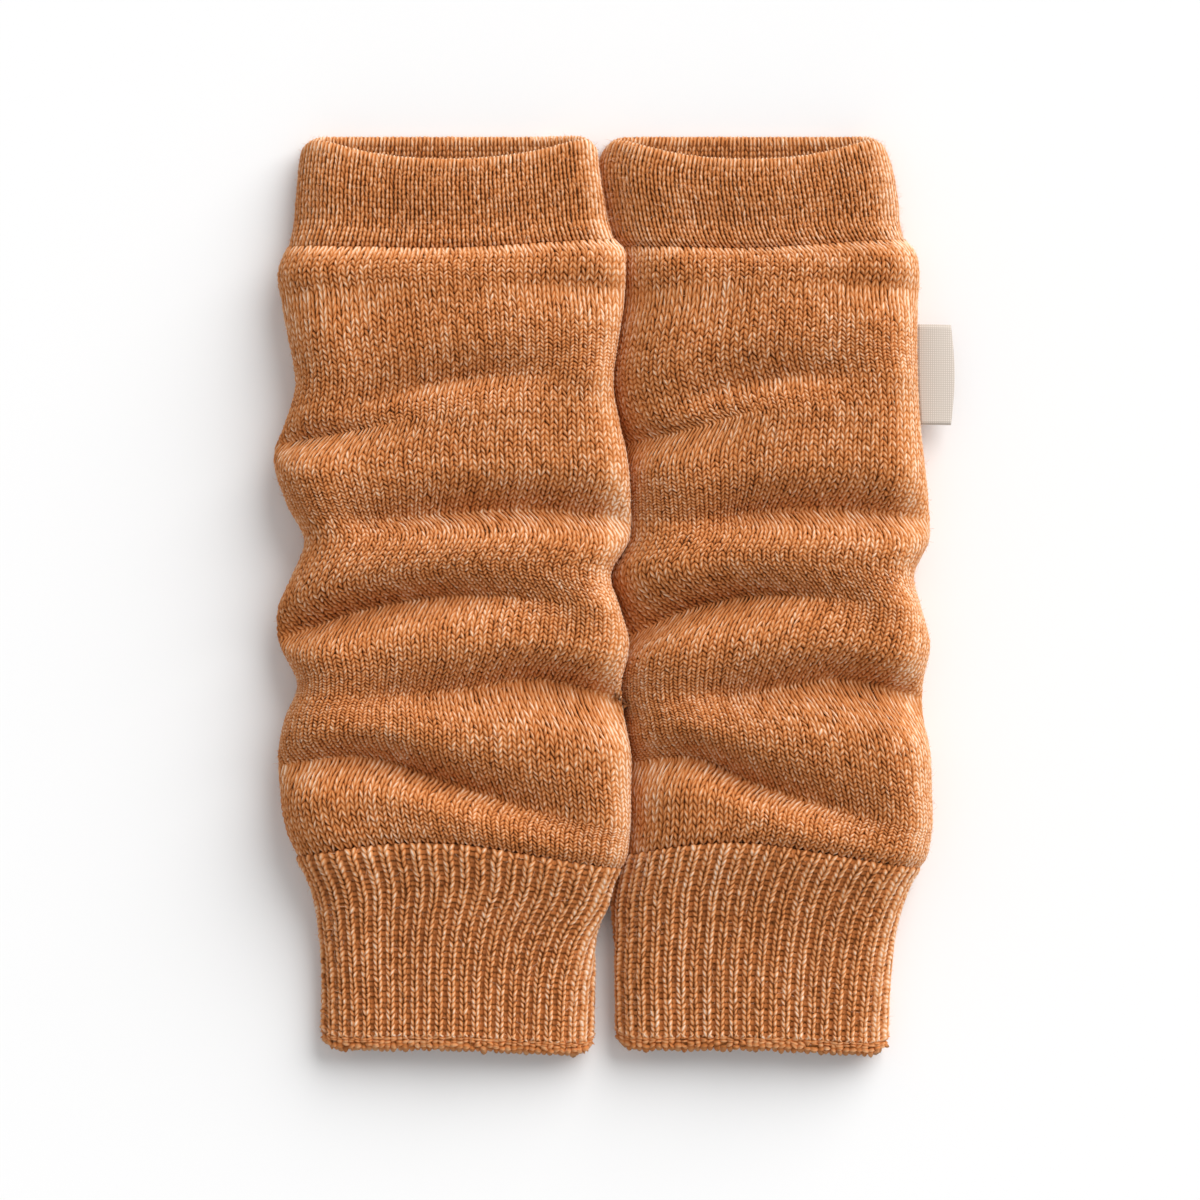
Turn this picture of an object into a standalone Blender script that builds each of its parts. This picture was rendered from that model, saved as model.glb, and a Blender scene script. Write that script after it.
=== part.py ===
"""A pair of knitted leg warmers lying side by side, softly filled out and open right through.

Metres. +X runs from the left one to the right one, +Y from the rib cuffs to the top bands, +Z up.
The origin is on the surface that the pair lies on, under the middle of the pair. Each leg warmer
is three walls of cloth, one after the other down the leg: a doubled top band, the leg itself,
slouched into soft folds, and a rib cuff. A bare tape label stands in the right one's side.
"""

import math
from typing import NamedTuple

import bmesh
import bpy
import numpy as np

MM = 0.001

# ---------------------------------------------------------------------------------- driving sizes
PAIR_LENGTH = 329.86        # top rim to hem, as it lies in its folds
LEFT_AXIS = -58.18          # where the left one's axis lies across the pair
RIGHT_AXIS = 50.52
SEAM_GAP = 0.3              # between two pieces where the real ones are sewn or linked

LEG_WALL = 2.2
CUFF_WALL = 2.0
BAND_WALL = 3.4             # two thicknesses of knit, turned over at the rim
CROWN_ARCH = 1.6            # how much the middle of the front stands above its shoulders
CORNER_SHARPNESS = 22       # power of the distance across that rounds a rim's corners
FOLD_SOFTNESS = 0.15        # how far a fold's floor is rounded, as a share of the way to its crest
FOLD_REACH = 13.0           # how far at least a fold's sides reach, so that close folds run together
SEAM_REACH = 5.0            # how far the dip along a sewn edge reaches

RIB_PITCH = 4.86            # one knit column and one purl furrow
RIB_RELIEF = 1.3
FLOOR_FADE = 3.0            # ribs die away this near to the surface they lie on

APART_FROM = 255.0          # from here down the two draw apart, and their flanks become plain ones
APART_OVER = 50.0

LABEL_TOP = 67.9            # down from the top rim
LABEL_BOTTOM = 104.1
LABEL_TIP = 70.6            # out from the right one's axis, at the label's corners
LABEL_BOW = 1.3             # how far the folded edge bows past its corners
LABEL_THICK = 1.1
LABEL_TIP_HEIGHT = 8.5
LABEL_CLEAR = 0.4           # between the label and the wall that it is sewn into
LABEL_FLAT_SHARE = 0.95     # of its width; the rest rounds over at the folded edge
LABEL_ROWS = 9
LABEL_COLUMNS = 4

UNDERSIDE_STOPS = 7         # points across the flat underside
FRONT_STOPS = 29            # points round the front of the leg and the band
CUFF_UNDERSIDE_STOPS = 9


class Section(NamedTuple):
    """The outline at one distance down from the top rim, in mm from the leg warmer's own axis."""

    down: float
    left: float             # left edge of the left one
    right: float            # right edge of the left one
    tucked: float           # left edge of the right one, which lies under the left one
    outer: float            # right edge of the right one
    crown: float            # height of the front


SECTIONS = (
    Section(0.0, 55.2, 51.6, 54.9, 47.0, 15.0),
    Section(8.0, 56.0, 52.2, 57.2, 49.3, 17.5),
    Section(20.0, 56.9, 53.8, 56.4, 51.2, 19.5),
    Section(37.5, 59.2, 58.2, 51.8, 54.3, 20.8),
    Section(41.5, 60.8, 61.1, 49.4, 57.2, 23.2),
    Section(48.0, 62.9, 61.6, 48.8, 58.6, 27.0),
    Section(61.0, 61.6, 60.9, 49.0, 58.1, 28.0),
    Section(74.0, 59.1, 58.9, 51.0, 57.9, 28.5),
    Section(90.0, 56.8, 57.1, 53.0, 58.1, 28.5),
    Section(104.0, 60.6, 59.4, 49.9, 59.0, 28.5),
    Section(113.0, 64.2, 61.5, 47.8, 59.9, 29.0),
    Section(132.7, 59.8, 63.4, 46.8, 61.9, 29.5),
    Section(145.6, 53.6, 62.8, 47.4, 62.1, 29.5),
    Section(158.2, 57.8, 56.2, 53.0, 56.7, 29.0),
    Section(170.0, 63.0, 59.5, 49.6, 59.2, 29.5),
    Section(182.0, 62.8, 62.7, 47.4, 62.3, 30.0),
    Section(198.0, 56.0, 60.0, 49.9, 59.8, 29.5),
    Section(210.0, 60.5, 61.2, 47.8, 60.1, 30.0),
    Section(221.0, 62.8, 63.3, 46.8, 62.4, 30.0),
    Section(235.0, 62.3, 63.4, 46.4, 63.0, 29.5),
    Section(251.0, 59.6, 63.0, 46.8, 63.0, 28.3),
    Section(261.0, 55.2, 61.3, 48.6, 60.6, 25.2),
    Section(267.0, 52.4, 57.6, 50.0, 56.4, 23.2),
    Section(277.0, 49.3, 54.8, 51.2, 52.4, 20.4),
    Section(288.0, 47.9, 50.7, 50.2, 49.7, 18.2),
    Section(305.0, 46.9, 49.8, 49.8, 48.0, 16.0),
    Section(331.0, 47.4, 49.3, 49.6, 47.1, 14.0),
)


class Line(NamedTuple):
    """A line across the front: how far down it lies at five places, and how deep it dips."""

    name: str
    at_left: float
    at_quarter: float
    at_middle: float
    at_three_quarters: float
    at_right: float
    dip_left: float = 0.0
    dip_middle: float = 0.0
    dip_right: float = 0.0
    corner: float = 0.0     # how far it curves down the leg at its two ends
    softness: float = FOLD_SOFTNESS     # none at a seam, whose floor is sharp
    reach: float = 0.0      # how far its dip reaches; without one, half-way to the next line


RIM = Line("rim", -0.6, 6.6, 8.6, 6.2, -0.6, corner=5.0)
BAND_EDGE = Line("band edge", 40.1, 40.8, 41.2, 39.5, 37.6, 1.5, 2.2, 1.5, softness=0.0, reach=SEAM_REACH)
FOLDS = (
    Line("small tuck", 58.0, 54.6, 52.8, 54.6, 55.8, 3.4, 0.6, 5.2),
    Line("knee fold", 99.5, 95.5, 89.0, 86.4, 86.4, 0.8, 5.6, -3.0),
    Line("first fold", 111.5, 106.2, 100.4, 98.6, 98.8, 10.5, 0.0, 0.0),
    Line("second fold", 138.5, 139.0, 136.2, 135.2, 138.6, -0.5, 9.6, 9.2),
    Line("third fold", 181.5, 170.6, 165.8, 166.8, 170.0, 14.6, 10.2, -4.5, softness=0.1),
    Line("fourth fold", 203.0, 202.0, 200.2, 196.0, 203.0, -1.5, 8.4, 12.6),
    Line("fifth fold", 226.4, 223.6, 233.4, 243.0, 249.5, 8.6, 10.4, -1.0),
)
SEAM = Line("seam", 259.4, 254.9, 254.3, 258.7, 263.7, 0.9, 1.1, 0.9, softness=0.0, reach=SEAM_REACH)
HEM = Line("hem", 328.5, 328.2, 328.2, 329.3, 330.7, corner=-3.0)

ROWS_PER_FOLD = (3, 5, 3, 5, 5, 5, 5, 5)
ROUNDED_RIM = ((0.45, 0.0), (0.1, 0.2), (0.0, 0.5), (0.1, 0.8), (0.45, 1.0))


class Flank(NamedTuple):
    """How one side of a leg warmer rounds from the surface it lies on up to the front."""

    widest: float           # height of the widest point, as a share of the crown
    under: float            # how far in the underside starts
    over: float             # how far in the front starts


PLAIN_FLANK = Flank(0.42, 12.0, 20.0)
LYING_OVER = Flank(0.64, 24.0, 17.0)
TUCKED_UNDER = Flank(0.22, 7.0, 31.0)


class LegWarmer(NamedTuple):
    """Which of the two it is, and so where it lies and which edges it takes."""

    side: str
    axis: float
    left_edge: str
    right_edge: str
    left_flank: Flank
    right_flank: Flank


LEFT = LegWarmer("left", LEFT_AXIS, "left", "right", PLAIN_FLANK, LYING_OVER)
RIGHT = LegWarmer("right", RIGHT_AXIS, "tucked", "outer", TUCKED_UNDER, PLAIN_FLANK)


# ------------------------------------------------------------------------------------- smooth curves
def smooth_line(stations, values, at):
    """Read a smooth curve through (stations, values) at the places given."""
    stations = np.asarray(stations, float)
    values = np.asarray(values, float)
    slopes = np.gradient(values, stations)
    at = np.clip(at, stations[0], stations[-1])
    k = np.clip(np.searchsorted(stations, at) - 1, 0, len(stations) - 2)
    span = stations[k + 1] - stations[k]
    t = (at - stations[k]) / span
    rise = values[k + 1] - values[k]
    start, end = slopes[k] * span, slopes[k + 1] * span
    return values[k] + t * (start + t * ((3 * rise - 2 * start - end) + t * (start + end - 2 * rise)))


def section_value(name, down):
    """One column of the section table, read at a distance down from the rim."""
    return smooth_line([s.down for s in SECTIONS], [getattr(s, name) for s in SECTIONS], down)


def line_down(line, across):
    """How far down the front a line lies, from across = -1 at the left edge to 1 at the right."""
    places = (line.at_left, line.at_quarter, line.at_middle, line.at_three_quarters, line.at_right)
    return smooth_line((-1.0, -0.5, 0.0, 0.5, 1.0), places, across)


def line_dip(line, across):
    """How deep a line dips into the front, at the same places across."""
    return smooth_line((-1.0, 0.0, 1.0), (line.dip_left, line.dip_middle, line.dip_right), across)


def nearness(away, softness):
    """1 on a line and 0 at the end of its reach, rounded over at the line by its softness."""
    rounded = np.hypot(away, softness) - softness
    return (1 - rounded / (np.hypot(1.0, softness) - softness)) ** 2


def flank_at(flank, down):
    """A flank's three sizes at distances down from the rim, plain where the two lie apart."""
    share = np.clip((down - APART_FROM) / APART_OVER, 0, 1)
    share = share * share * (3 - 2 * share)
    return (lying + (plain - lying) * share for lying, plain in zip(flank, PLAIN_FLANK))


# ------------------------------------------------------------------------------ the form of a leg warmer
def outline_point(leg, lines, turn, row):
    """Points of the outer face, in mm.

    turn goes once round: 0 to 1 along the underside, left to right; 1 to 2 up the right flank;
    2 to 3 across the front, right to left; 3 to 4 down the left flank. row counts the lines
    down the leg, so row 1.5 is half-way between the second line and the third.
    """
    turn, row = np.broadcast_arrays(np.asarray(turn, float) % 4.0, np.asarray(row, float))
    above = np.clip(np.floor(row).astype(int), 0, len(lines) - 2)
    part = row - above

    def between(reading):
        readings = np.array([reading(line) for line in lines])
        pick = np.arange(readings.shape[1])
        upper, lower = readings[above.ravel(), pick], readings[above.ravel() + 1, pick]
        return upper + (lower - upper) * part.ravel()

    def everywhere(values):
        return np.asarray(values, float).reshape(turn.shape)

    flat = np.zeros(turn.size)
    down_left = everywhere(between(lambda line: flat + line.at_left))
    down_right = everywhere(between(lambda line: flat + line.at_right))
    down_middle = everywhere(between(lambda line: flat + line.at_middle))
    left = section_value(leg.left_edge, down_left)
    right = section_value(leg.right_edge, down_right)
    crown = section_value("crown", down_middle)
    shoulder = crown - CROWN_ARCH
    left_widest, left_under, left_over = flank_at(leg.left_flank, down_middle)
    right_widest, right_under, right_over = flank_at(leg.right_flank, down_middle)

    x = np.zeros(turn.shape)
    z = np.zeros(turn.shape)
    lift = np.ones(turn.shape)

    under = turn < 1
    x_from, x_to = left_under - left, right - right_under
    x[under] = (x_from + (x_to - x_from) * turn)[under]
    lift[under] = 0.0

    over = (turn >= 2) & (turn < 3)
    x_from, x_to = right - right_over, left_over - left
    x[over] = (x_from + (x_to - x_from) * (turn - 2))[over]
    q = 2 * (turn - 2) - 1
    z[over] = (shoulder + CROWN_ARCH * (1 - q * q) ** 2)[over]

    for widest_share, under_by, over_by, edge, sign, angle, here in (
        (right_widest, right_under, right_over, right, 1, (turn - 1.5) * math.pi, (turn >= 1) & (turn < 2)),
        (left_widest, left_under, left_over, left, -1, (3.5 - turn) * math.pi, turn >= 3),
    ):
        widest = widest_share * crown
        reach = np.where(angle > 0, over_by, under_by)
        height = np.where(angle > 0, shoulder - widest, widest)
        x[here] = (sign * (edge - reach * (1 - np.cos(angle))))[here]
        z[here] = (widest + height * np.sin(angle))[here]
        lift[here] = np.clip(np.sin(angle), 0, 1)[here]

    across = np.where(x > 0, x / right, x / left)
    front_down = everywhere(between(lambda line: line_down(line, across.ravel())))
    under_down = down_left + (down_right - down_left) * (across + 1) / 2
    rounding = everywhere(between(lambda line: line.corner * np.abs(across.ravel()) ** CORNER_SHARPNESS))
    down = np.where(lift > 0, front_down, under_down) + rounding

    pick = np.arange(turn.size)
    places = np.array([line_down(line, across.ravel()) for line in lines])
    spacing = everywhere(places[above.ravel() + 1, pick] - places[above.ravel(), pick])
    softness = np.array([line.softness for line in lines])
    reaches = np.array([line.reach for line in lines])
    dips = np.array([line_dip(line, across.ravel()) for line in lines])
    for near, away in ((above, part), (above + 1, 1 - part)):
        reach = np.where(reaches[near] > 0, reaches[near], np.maximum(spacing / 2, FOLD_REACH))
        share = nearness(np.clip(away * spacing / reach, 0, 1), softness[near])
        z = z - lift * everywhere(dips[near.ravel(), pick]) * share
    return np.stack([leg.axis + x, PAIR_LENGTH / 2 - down, z], axis=-1)


def outward(leg, lines, turn, row):
    """The direction that the outer face looks in, at the same places as outline_point."""
    step = 0.004
    row_up, row_low = np.maximum(row - step, 0.0), np.minimum(row + step, len(lines) - 1.0)
    along = outline_point(leg, lines, turn, row_low) - outline_point(leg, lines, turn, row_up)
    round_it = outline_point(leg, lines, turn + step, row) - outline_point(leg, lines, turn - step, row)
    facing = np.cross(round_it, along)
    return facing / np.linalg.norm(facing, axis=-1, keepdims=True)


def stops_round(leg, lines, front_count, under_count):
    """Turns evenly spread over the underside and over the front, and the front's length."""
    middle_row = (len(lines) - 1) / 2
    fine = np.linspace(1.0, 4.0 - 1e-6, 600)
    trail = outline_point(leg, lines, fine, np.full(fine.shape, middle_row))[:, [0, 2]]
    length = np.concatenate([[0], np.cumsum(np.linalg.norm(np.diff(trail, axis=0), axis=1))])
    even = np.linspace(0, length[-1], front_count + 1)[:-1]
    under = np.linspace(0.0, 1.0, under_count + 1)[:-1]
    return np.concatenate([under, np.interp(even, length, fine)]), length[-1]


# ------------------------------------------------------------------------------------- cloth walls
def add_object(name, points, faces, material):
    """Make a named, smooth-shaded object from points in mm, its faces turned outward."""
    mesh = bpy.data.meshes.new(name)
    mesh.from_pydata([tuple(float(c) * MM for c in p) for p in points], [], faces)
    tidy = bmesh.new()
    tidy.from_mesh(mesh)
    bmesh.ops.recalc_face_normals(tidy, faces=tidy.faces)
    if tidy.calc_volume(signed=True) < 0:
        bmesh.ops.reverse_faces(tidy, faces=tidy.faces)
    bmesh.ops.triangulate(tidy, faces=[face for face in tidy.faces if len(face.verts) > 3])
    tidy.to_mesh(mesh)
    tidy.free()
    mesh.shade_smooth()
    mesh.materials.append(material)
    made = bpy.data.objects.new(name, mesh)
    bpy.context.scene.collection.objects.link(made)
    return made


def cloth_tube(name, leg, lines, turns, rings, wall, material, relief=None):
    """Close a wall of cloth round a leg warmer.

    rings is a loop of (row, depth into the wall as a share of it): down the outer face, in at
    the lower edge, up the inner face and out at the upper edge.
    """
    points = []
    for row, depth in rings:
        rows = np.full(turns.shape, row)
        outer = outline_point(leg, lines, turns, rows)
        facing = outward(leg, lines, turns, rows)
        if row in (0.0, len(lines) - 1.0):
            facing[:, 1] = 0.0
            facing = facing / np.linalg.norm(facing, axis=1, keepdims=True)
        ring = outer - facing * wall * depth
        if relief is not None and depth == 0.0:
            ring = ring + facing * relief(turns, outer)[:, None]
        ring[:, 2] = np.maximum(ring[:, 2], 0.0)
        points.extend(ring)
    count, around = len(rings), len(turns)
    faces = []
    for i in range(count):
        for j in range(around):
            here, next_ring = i * around, (i + 1) % count * around
            beside = (j + 1) % around
            faces.append((here + j, here + beside, next_ring + beside, next_ring + j))
    return add_object(name, points, faces, material)


def knit_material(name, colour, roughness):
    """A plain wool or tape material with one colour."""
    material = bpy.data.materials.new(name)
    material.use_nodes = True
    shader = material.node_tree.nodes["Principled BSDF"]
    shader.inputs["Base Color"].default_value = (*colour, 1.0)
    shader.inputs["Roughness"].default_value = roughness
    shader.inputs["Metallic"].default_value = 0.0
    return material


def shifted(line, by):
    """The same line, moved down the leg."""
    return line._replace(at_left=line.at_left + by, at_quarter=line.at_quarter + by,
                         at_middle=line.at_middle + by, at_three_quarters=line.at_three_quarters + by,
                         at_right=line.at_right + by)


# ------------------------------------------------------------------------------------------ pieces
def top_band(leg, material):
    """The doubled band, with a rounded rim that dips at the front and shows the mouth."""
    lines = (RIM, shifted(BAND_EDGE, -SEAM_GAP / 2))
    turns, _ = stops_round(leg, lines, FRONT_STOPS, UNDERSIDE_STOPS)
    row_height = BAND_EDGE.at_middle - RIM.at_middle
    rim_rows = [(BAND_WALL * back / row_height, depth) for back, depth in ROUNDED_RIM]
    outer = [(row, 0.0) for row in (0.22, 0.42, 0.62, 0.82, 1.0)]
    inner = [(row, 1.0) for row in (1.0, 0.7, 0.4)]
    rings = outer + inner + rim_rows[::-1]
    return cloth_tube(f"{leg.side}_top_band", leg, lines, turns, rings, BAND_WALL, material)


def leg_tube(leg, material):
    """The leg itself, from the band's edge to the cuff's seam, gathered into its folds."""
    lines = (shifted(BAND_EDGE, SEAM_GAP / 2), *FOLDS, shifted(SEAM, -SEAM_GAP / 2))
    turns, _ = stops_round(leg, lines, FRONT_STOPS, UNDERSIDE_STOPS)
    rows = []
    for index, count in enumerate(ROWS_PER_FOLD):
        rows.extend(index + step / count for step in range(count))
    rows.append(float(len(ROWS_PER_FOLD)))
    rings = [(row, 0.0) for row in rows] + [(row, 1.0) for row in reversed(rows)]
    return cloth_tube(f"{leg.side}_leg", leg, lines, turns, rings, LEG_WALL, material)


def rib_cuff(leg, material):
    """The cuff, with its ribs raised over a plain inside and dying away at the flat underside."""
    lines = (shifted(SEAM, SEAM_GAP / 2), HEM)
    _, front_length = stops_round(leg, lines, 1, 1)
    ribs = round(front_length / RIB_PITCH)
    turns, _ = stops_round(leg, lines, 3 * ribs, CUFF_UNDERSIDE_STOPS)
    height_in_rib = np.concatenate([np.zeros(CUFF_UNDERSIDE_STOPS), np.tile((0.0, 1.0, 1.0), ribs)])

    def relief(_, outer):
        return RIB_RELIEF * height_in_rib * np.clip(outer[:, 2] / FLOOR_FADE - 1.0, 0, 1)

    outer = [(row, 0.0) for row in (0.0, 0.1, 0.22, 0.36, 0.65, 0.985)]
    rim = [(1.0, 0.25), (1.0, 0.75)]
    inner = [(row, 1.0) for row in (0.985, 0.5, 0.22, 0.0)]
    return cloth_tube(f"{leg.side}_rib_cuff", leg, lines, turns, outer + rim + inner, CUFF_WALL,
                      material, relief)


def side_label(leg, material):
    """A folded tape standing out of the side seam, its folded edge bowed and drooping a little."""
    down = np.linspace(LABEL_TOP, LABEL_BOTTOM, LABEL_ROWS)
    along = (down - LABEL_TOP) / (LABEL_BOTTOM - LABEL_TOP)
    root = section_value(leg.right_edge, down) + LABEL_CLEAR
    tip = LABEL_TIP + LABEL_BOW * np.sin(math.pi * along)
    root_height = leg.right_flank.widest * section_value("crown", down)
    half = LABEL_THICK / 2
    upper = [(out, half) for out in np.linspace(0.0, LABEL_FLAT_SHARE, LABEL_COLUMNS)]
    rounded_edge = [((1 + LABEL_FLAT_SHARE) / 2, half * math.sqrt(0.75)), (1.0, 0.0)]
    profile = upper + rounded_edge
    profile += [(out, -height) for out, height in reversed(profile[:-1])]
    points = []
    for k in range(LABEL_ROWS):
        for out, height in profile:
            x = root[k] + (tip[k] - root[k]) * out
            z = root_height[k] + (LABEL_TIP_HEIGHT - root_height[k]) * out * out + height
            points.append((leg.axis + x, PAIR_LENGTH / 2 - down[k], z))
    around = len(profile)
    first_of_last = (LABEL_ROWS - 1) * around
    faces = [tuple(range(around)), tuple(range(first_of_last + around - 1, first_of_last - 1, -1))]
    for here in range(0, first_of_last, around):
        for j in range(around):
            beside = (j + 1) % around
            faces.append((here + beside, here + j, here + around + j, here + around + beside))
    return add_object("side_label", points, faces, material)


def main():
    """Build the two leg warmers and the label."""
    for old in list(bpy.data.objects):
        bpy.data.objects.remove(old, do_unlink=True)
    wool = knit_material("caramel_wool_knit", (0.49, 0.195, 0.078), 0.9)
    band_wool = knit_material("caramel_wool_doubled_knit", (0.45, 0.178, 0.070), 0.9)
    cuff_wool = knit_material("caramel_wool_bold_rib", (0.42, 0.160, 0.062), 0.9)
    tape = knit_material("cream_cotton_tape", (0.73, 0.64, 0.54), 0.8)
    for leg in (LEFT, RIGHT):
        top_band(leg, band_wool)
        leg_tube(leg, wool)
        rib_cuff(leg, cuff_wool)
    side_label(RIGHT, tape)


main()
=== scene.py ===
"""The looks of a pair of wool leg warmers: every stitch of the knit, laid over the form of the pair.

All sizes in the classes are millimetres, measured from the top rim down and from each leg warmer's
own axis outward. Points are turned to metres where a mesh is made.
"""
import logging
import math
from dataclasses import astuple, dataclass, field, replace
from enum import Enum
from typing import Optional, Sequence, Union

import bpy
import numpy as np
from bpy.types import Material, Node, NodeSocket, NodeTree, Object
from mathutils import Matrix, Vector


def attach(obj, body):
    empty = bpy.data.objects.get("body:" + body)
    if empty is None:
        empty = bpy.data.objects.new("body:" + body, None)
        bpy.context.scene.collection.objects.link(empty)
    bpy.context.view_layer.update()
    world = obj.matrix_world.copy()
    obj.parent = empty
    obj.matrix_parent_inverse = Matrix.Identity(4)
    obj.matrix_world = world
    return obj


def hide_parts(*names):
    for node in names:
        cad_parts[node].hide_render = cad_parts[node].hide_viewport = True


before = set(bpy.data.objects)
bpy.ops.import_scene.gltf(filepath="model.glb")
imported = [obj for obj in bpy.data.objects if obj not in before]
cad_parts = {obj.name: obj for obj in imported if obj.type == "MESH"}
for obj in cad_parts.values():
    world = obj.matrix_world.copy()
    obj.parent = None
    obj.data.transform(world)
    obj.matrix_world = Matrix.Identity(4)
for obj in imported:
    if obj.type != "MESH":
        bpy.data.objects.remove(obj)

Array = np.ndarray
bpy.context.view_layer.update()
MM = 0.001
log = logging.getLogger("leg_warmers")


# ---------------------------------------- the form, as the solids have it
@dataclass(frozen=True)
class Section:
    """The outline at one distance down from the top rim."""

    down: float
    left: float
    right: float
    tucked: float
    outer: float
    crown: float


SECTIONS = tuple(Section(*row) for row in (
    (0.0, 55.2, 51.6, 54.9, 47.0, 15.0),
    (8.0, 56.0, 52.2, 57.2, 49.3, 17.5),
    (20.0, 56.9, 53.8, 56.4, 51.2, 19.5),
    (37.5, 59.2, 58.2, 51.8, 54.3, 20.8),
    (41.5, 60.8, 61.1, 49.4, 57.2, 23.2),
    (48.0, 62.9, 61.6, 48.8, 58.6, 27.0),
    (61.0, 61.6, 60.9, 49.0, 58.1, 28.0),
    (74.0, 59.1, 58.9, 51.0, 57.9, 28.5),
    (90.0, 56.8, 57.1, 53.0, 58.1, 28.5),
    (104.0, 60.6, 59.4, 49.9, 59.0, 28.5),
    (113.0, 64.2, 61.5, 47.8, 59.9, 29.0),
    (132.7, 59.8, 63.4, 46.8, 61.9, 29.5),
    (145.6, 53.6, 62.8, 47.4, 62.1, 29.5),
    (158.2, 57.8, 56.2, 53.0, 56.7, 29.0),
    (170.0, 63.0, 59.5, 49.6, 59.2, 29.5),
    (182.0, 62.8, 62.7, 47.4, 62.3, 30.0),
    (198.0, 56.0, 60.0, 49.9, 59.8, 29.5),
    (210.0, 60.5, 61.2, 47.8, 60.1, 30.0),
    (221.0, 62.8, 63.3, 46.8, 62.4, 30.0),
    (235.0, 62.3, 63.4, 46.4, 63.0, 29.5),
    (251.0, 59.6, 63.0, 46.8, 63.0, 28.3),
    (261.0, 55.2, 61.3, 48.6, 60.6, 25.2),
    (267.0, 52.4, 57.6, 50.0, 56.4, 23.2),
    (277.0, 49.3, 54.8, 51.2, 52.4, 20.4),
    (288.0, 47.9, 50.7, 50.2, 49.7, 18.2),
    (305.0, 46.9, 49.8, 49.8, 48.0, 16.0),
    (331.0, 47.4, 49.3, 49.6, 47.1, 14.0),
))


@dataclass(frozen=True)
class Line:
    """A line across the front: how far down it lies at five places, left to right, how deep it
    dips at three, and how far the knit's columns have swayed to the right at it and below it."""

    down: tuple[float, float, float, float, float]
    dip: tuple[float, float, float] = (0.0, 0.0, 0.0)
    sway: float = 0.0
    sway_below: float = 0.0
    corner: float = 0.0  # how far it curves down the leg at its two ends
    softness: float = 0.15  # how far its floor is rounded, as a share of the way to its crest
    reach: float = 0.0  # how far its dip reaches; without one, half-way to the next line

    def moved(self, by: float) -> "Line":
        """The same line, further down the leg."""
        return replace(self, down=tuple(place + by for place in self.down))

    def dip_at(self, across: Array) -> Array:
        """How deep it dips, from across = -1 at the left edge to 1 at the right."""
        return smooth_line(THREE_PLACES, self.dip, across)


FIVE_PLACES = (-1.0, -0.5, 0.0, 0.5, 1.0)
THREE_PLACES = (-1.0, 0.0, 1.0)
RIM = Line((-0.6, 6.6, 8.6, 6.2, -0.6), corner=5.0)
BAND_EDGE = Line((40.1, 40.8, 41.2, 39.5, 37.6), (1.5, 2.2, 1.5), softness=0.0, reach=5.0)
FOLDS = (
    Line((58.0, 54.6, 52.8, 54.6, 55.8), (3.4, 0.6, 5.2), 0.3, 0.4),
    Line((99.5, 95.5, 89.0, 86.4, 86.4), (0.8, 5.6, -3.0), 1.0, 0.6),
    Line((111.5, 106.2, 100.4, 98.6, 98.8), (10.5, 0.0, 0.0), 3.0, -2.6),
    Line((138.5, 139.0, 136.2, 135.2, 138.6), (-0.5, 9.6, 9.2), -6.0, -1.2),
    Line((181.5, 170.6, 165.8, 166.8, 170.0), (14.6, 10.2, -4.5), 2.4, -2.6, softness=0.1),
    Line((203.0, 202.0, 200.2, 196.0, 203.0), (-1.5, 8.4, 12.6), -6.0, -2.0),
    Line((226.4, 223.6, 233.4, 243.0, 249.5), (8.6, 10.4, -1.0), 1.6, -0.8),
)
SEAM = Line((259.4, 254.9, 254.3, 258.7, 263.7), (0.9, 1.1, 0.9), softness=0.0, reach=5.0)
HEM = Line((328.5, 328.2, 328.2, 329.3, 330.7), corner=-3.0)
PAIR_LENGTH = 329.86
SEAM_GAP = 0.3
CROWN_ARCH = 1.6
CORNER_SHARPNESS = 22
APART_FROM = 255.0  # from here down the two draw apart, and their flanks become plain ones
APART_OVER = 50.0
OUTWARD_STEP = 0.004  # the share of a turn or a row over which the form's slope is taken
FULL_GATHER = 4.0  # mm; a line that dips less than this never gathers the knit fully
FOLD_REACH = 13.0  # how far at least a fold's sides reach, so that close folds run together
SWAY_GATHER = 2.5  # how closely the columns' sway keeps to the folds


def eased(share: Array) -> Array:
    """A share kept from 0 to 1 that leaves and reaches its ends softly."""
    share = np.clip(share, 0, 1)
    return share * share * (3 - 2 * share)


@dataclass(frozen=True)
class Flank:
    """How one side rounds from the surface it lies on up to the front."""

    widest: float  # how high its widest point is, as a share of the crown
    under: float  # how far in from there the underside starts, in mm
    over: float  # how far in from there the front starts, in mm

    def at(self, down: Array) -> tuple[Array, Array, Array]:
        """Its three sizes at distances down from the rim in mm: they are plain where the two lie apart."""
        share = eased((down - APART_FROM) / APART_OVER)
        return tuple(own + (plain - own) * share for own, plain in zip(astuple(self), astuple(PLAIN_FLANK)))


PLAIN_FLANK = Flank(0.42, 12.0, 20.0)


class Side(Enum):
    """Which of the pair it is: its axis across the pair, its edges and its flanks."""

    LEFT = ("left", -58.18, "left", "right", PLAIN_FLANK, Flank(0.64, 24.0, 17.0))
    RIGHT = ("right", 50.52, "tucked", "outer", Flank(0.22, 7.0, 31.0), PLAIN_FLANK)

    def __init__(self, word: str, axis: float, left_edge: str, right_edge: str,
                 left_flank: Flank, right_flank: Flank) -> None:
        """Name the parts of the value.

        Args:
            word: its part of the nodes' names.
            axis: where its own axis lies across the pair, in mm.
            left_edge: the column of the section table for its left edge.
            right_edge: the column for its right edge.
            left_flank: how its left side rounds.
            right_flank: how its right side rounds.
        """
        self.word, self.axis = word, axis
        self.left_edge, self.right_edge = left_edge, right_edge
        self.left_flank, self.right_flank = left_flank, right_flank


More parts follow.
